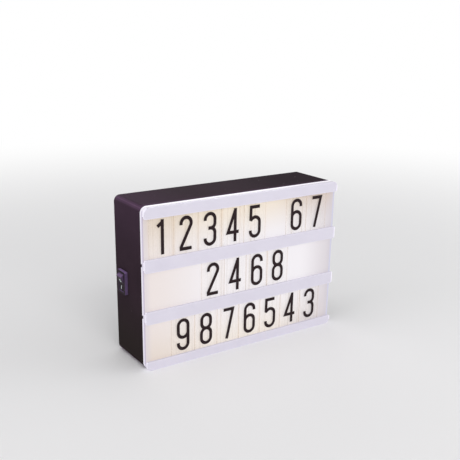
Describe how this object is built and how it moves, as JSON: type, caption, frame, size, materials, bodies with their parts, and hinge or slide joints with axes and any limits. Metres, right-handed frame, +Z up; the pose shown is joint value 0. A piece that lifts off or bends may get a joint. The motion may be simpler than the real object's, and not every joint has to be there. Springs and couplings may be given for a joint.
{
  "type": "cinema light box",
  "caption": "Small battery light box with a black casing, a lit white front, slide-in letter rows between white rails, a side rocker switch and a battery door.",
  "frame": {"origin": "base plane, halfway along the casing's width and halfway between the rail fronts and the back face", "axes": "+X along the width to the right seen from the front, the lit front faces -Y, +Z up"},
  "size_m": [0.1517, 0.04, 0.104],
  "materials": {
    "black_plastic": "satin moulded black ABS",
    "opal_plastic": "opal diffuser, lit from behind",
    "rail_plastic": "glossy white",
    "clear_plastic": "clear film with a dark printed digit",
    "cell_jacket": "plain printed jacket on a steel can",
    "nickel_steel": "nickel-plated spring steel",
    "switch_plastic": "glossy black",
    "contact_brass": "stamped brass and copper",
    "board_white": "white solder mask",
    "led_yellow": "phosphor in a white frame",
    "resistor_black": "black chip",
    "reflector_white": "matt white sheet",
    "wire_red": "soft insulation",
    "wire_black": "soft insulation",
    "wire_white": "soft insulation",
    "zinc_steel": "zinc-plated steel"
  },
  "bodies": {
    "light_box": {"rear_casing": "black_plastic", "front_plate": "opal_plastic", "rail_top": "rail_plastic", "rail_upper": "rail_plastic", "rail_lower": "rail_plastic", "rail_bottom": "rail_plastic", "battery_1": "cell_jacket", "battery_2": "cell_jacket", "battery_3": "cell_jacket", "contact_springs": "nickel_steel", "contact_plates": "nickel_steel", "switch_housing": "switch_plastic", "switch_terminals": "contact_brass", "led_board": "board_white", "leds": "led_yellow", "resistors": "resistor_black", "reflector": "reflector_white", "wire_red": "wire_red", "wire_black": "wire_black", "wire_switch": "wire_white", "casing_screws": "zinc_steel", "board_screws": "zinc_steel"},
    "battery_door": {"battery_door": "black_plastic"},
    "rocker": {"switch_rocker": "switch_plastic", "switch_contact": "contact_brass"},
    "tile_top_1": {"tile_top_1": "clear_plastic"},
    "tile_top_2": {"tile_top_2": "clear_plastic"},
    "tile_top_3": {"tile_top_3": "clear_plastic"},
    "tile_top_4": {"tile_top_4": "clear_plastic"},
    "tile_top_5": {"tile_top_5": "clear_plastic"},
    "tile_top_6": {"tile_top_6": "clear_plastic"},
    "tile_top_7": {"tile_top_7": "clear_plastic"},
    "tile_middle_1": {"tile_middle_1": "clear_plastic"},
    "tile_middle_2": {"tile_middle_2": "clear_plastic"},
    "tile_middle_3": {"tile_middle_3": "clear_plastic"},
    "tile_middle_4": {"tile_middle_4": "clear_plastic"},
    "tile_bottom_1": {"tile_bottom_1": "clear_plastic"},
    "tile_bottom_2": {"tile_bottom_2": "clear_plastic"},
    "tile_bottom_3": {"tile_bottom_3": "clear_plastic"},
    "tile_bottom_4": {"tile_bottom_4": "clear_plastic"},
    "tile_bottom_5": {"tile_bottom_5": "clear_plastic"},
    "tile_bottom_6": {"tile_bottom_6": "clear_plastic"},
    "tile_bottom_7": {"tile_bottom_7": "clear_plastic"}
  },
  "joints": [
    {"name": "rocker_tilt", "type": "hinge", "parent": "light_box", "child": "rocker", "pos_m": [-0.0735, 0.00925, 0.0505], "axis": [0, 1, 0], "range_deg": [0, 22]},
    {"name": "door_swing", "type": "hinge", "parent": "light_box", "child": "battery_door", "pos_m": [0, 0.02, 0.0279], "axis": [-1, 0, 0], "range_deg": [0, 75]},
    {"name": "tile_top_1_slide", "type": "slide", "parent": "light_box", "child": "tile_top_1", "axis": [1, 0, 0], "range_m": [-0.0035, 0.0168]},
    {"name": "tile_top_2_slide", "type": "slide", "parent": "light_box", "child": "tile_top_2", "axis": [1, 0, 0], "range_m": [-0.0035, 0.0168]},
    {"name": "tile_top_3_slide", "type": "slide", "parent": "light_box", "child": "tile_top_3", "axis": [1, 0, 0], "range_m": [-0.0035, 0.0168]},
    {"name": "tile_top_4_slide", "type": "slide", "parent": "light_box", "child": "tile_top_4", "axis": [1, 0, 0], "range_m": [-0.0035, 0.0168]},
    {"name": "tile_top_5_slide", "type": "slide", "parent": "light_box", "child": "tile_top_5", "axis": [1, 0, 0], "range_m": [-0.0035, 0.0168]},
    {"name": "tile_top_6_slide", "type": "slide", "parent": "light_box", "child": "tile_top_6", "axis": [1, 0, 0], "range_m": [0, 0.008]},
    {"name": "tile_top_7_slide", "type": "slide", "parent": "light_box", "child": "tile_top_7", "axis": [1, 0, 0], "range_m": [0, 0.008]},
    {"name": "tile_middle_1_slide", "type": "slide", "parent": "light_box", "child": "tile_middle_1", "axis": [1, 0, 0], "range_m": [-0.0402, 0.0394]},
    {"name": "tile_middle_2_slide", "type": "slide", "parent": "light_box", "child": "tile_middle_2", "axis": [1, 0, 0], "range_m": [-0.0402, 0.0394]},
    {"name": "tile_middle_3_slide", "type": "slide", "parent": "light_box", "child": "tile_middle_3", "axis": [1, 0, 0], "range_m": [-0.0402, 0.0394]},
    {"name": "tile_middle_4_slide", "type": "slide", "parent": "light_box", "child": "tile_middle_4", "axis": [1, 0, 0], "range_m": [-0.0402, 0.0394]},
    {"name": "tile_bottom_1_slide", "type": "slide", "parent": "light_box", "child": "tile_bottom_1", "axis": [1, 0, 0], "range_m": [-0.0181, 0.0103]},
    {"name": "tile_bottom_2_slide", "type": "slide", "parent": "light_box", "child": "tile_bottom_2", "axis": [1, 0, 0], "range_m": [-0.0181, 0.0103]},
    {"name": "tile_bottom_3_slide", "type": "slide", "parent": "light_box", "child": "tile_bottom_3", "axis": [1, 0, 0], "range_m": [-0.0181, 0.0103]},
    {"name": "tile_bottom_4_slide", "type": "slide", "parent": "light_box", "child": "tile_bottom_4", "axis": [1, 0, 0], "range_m": [-0.0181, 0.0103]},
    {"name": "tile_bottom_5_slide", "type": "slide", "parent": "light_box", "child": "tile_bottom_5", "axis": [1, 0, 0], "range_m": [-0.0181, 0.0103]},
    {"name": "tile_bottom_6_slide", "type": "slide", "parent": "light_box", "child": "tile_bottom_6", "axis": [1, 0, 0], "range_m": [-0.0181, 0.0103]},
    {"name": "tile_bottom_7_slide", "type": "slide", "parent": "light_box", "child": "tile_bottom_7", "axis": [1, 0, 0], "range_m": [-0.0181, 0.0103]}
  ],
  "couplings": [
    {"joint": "tile_top_2_slide", "follows": "tile_top_1_slide", "ratio": 1},
    {"joint": "tile_top_3_slide", "follows": "tile_top_1_slide", "ratio": 1},
    {"joint": "tile_top_4_slide", "follows": "tile_top_1_slide", "ratio": 1},
    {"joint": "tile_top_5_slide", "follows": "tile_top_1_slide", "ratio": 1},
    {"joint": "tile_top_7_slide", "follows": "tile_top_6_slide", "ratio": 1},
    {"joint": "tile_middle_2_slide", "follows": "tile_middle_1_slide", "ratio": 1},
    {"joint": "tile_middle_3_slide", "follows": "tile_middle_1_slide", "ratio": 1},
    {"joint": "tile_middle_4_slide", "follows": "tile_middle_1_slide", "ratio": 1},
    {"joint": "tile_bottom_2_slide", "follows": "tile_bottom_1_slide", "ratio": 1},
    {"joint": "tile_bottom_3_slide", "follows": "tile_bottom_1_slide", "ratio": 1},
    {"joint": "tile_bottom_4_slide", "follows": "tile_bottom_1_slide", "ratio": 1},
    {"joint": "tile_bottom_5_slide", "follows": "tile_bottom_1_slide", "ratio": 1},
    {"joint": "tile_bottom_6_slide", "follows": "tile_bottom_1_slide", "ratio": 1},
    {"joint": "tile_bottom_7_slide", "follows": "tile_bottom_1_slide", "ratio": 1}
  ]
}
